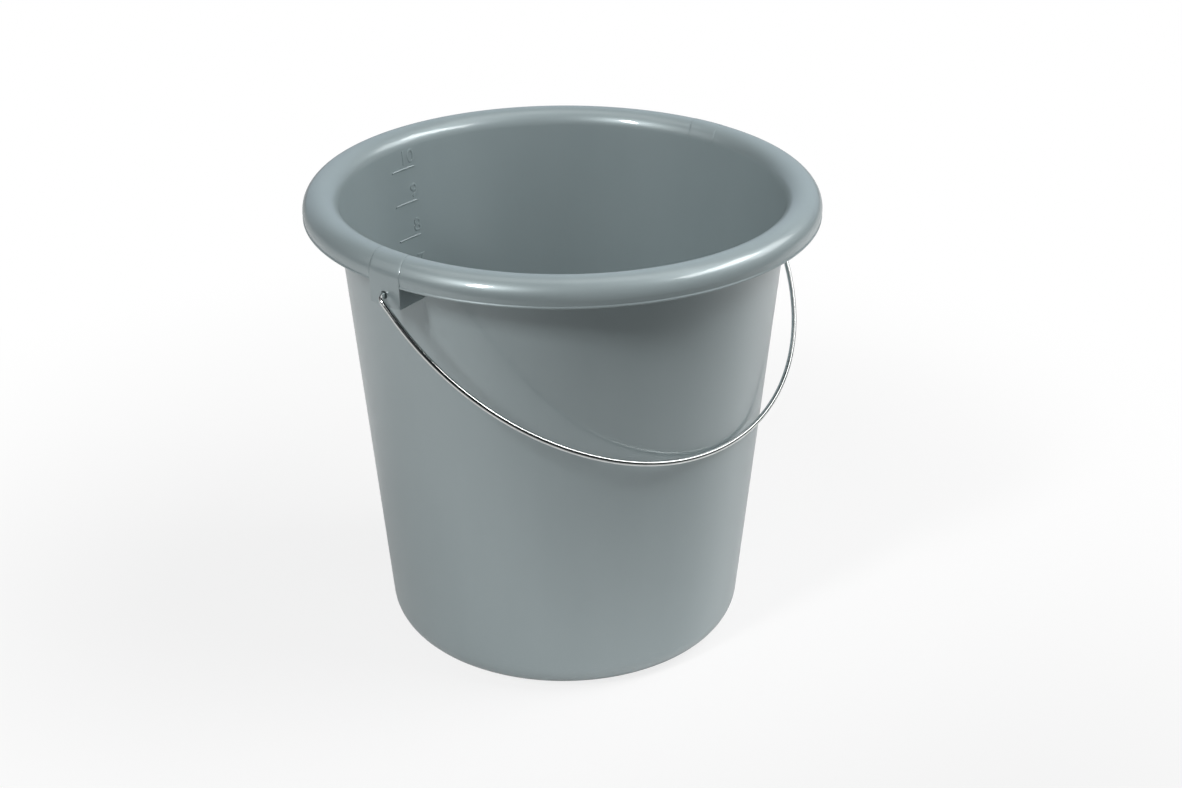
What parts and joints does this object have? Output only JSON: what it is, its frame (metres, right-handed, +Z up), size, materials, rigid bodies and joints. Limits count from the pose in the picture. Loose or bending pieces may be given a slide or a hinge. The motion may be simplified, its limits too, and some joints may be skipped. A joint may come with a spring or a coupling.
{
  "type": "bucket",
  "caption": "Round tapered plastic bucket with a half-round rim, moulded ears, a litre scale inside the wall and a swinging wire bail.",
  "frame": {"origin": "on the ground under the bucket's axis", "axes": "+Z up, +X along the bail's pivot axis from ear to ear, the bail hangs down on the -Y side and the litre scale is inside the wall at +Y"},
  "size_m": [0.3082, 0.2898, 0.2712],
  "materials": {
    "bucket_plastic": "satin silver-grey moulded plastic",
    "bail_wire": "bright galvanised wire"
  },
  "bodies": {
    "bucket": {"bucket": "bucket_plastic"},
    "wire_bail": {"wire_bail": "bail_wire"}
  },
  "joints": [
    {"name": "bail_swing", "type": "hinge", "parent": "bucket", "child": "wire_bail", "pos_m": [0, 0, 0.2515], "axis": [-1, 0, 0], "range_deg": [0, 264.4]}
  ]
}
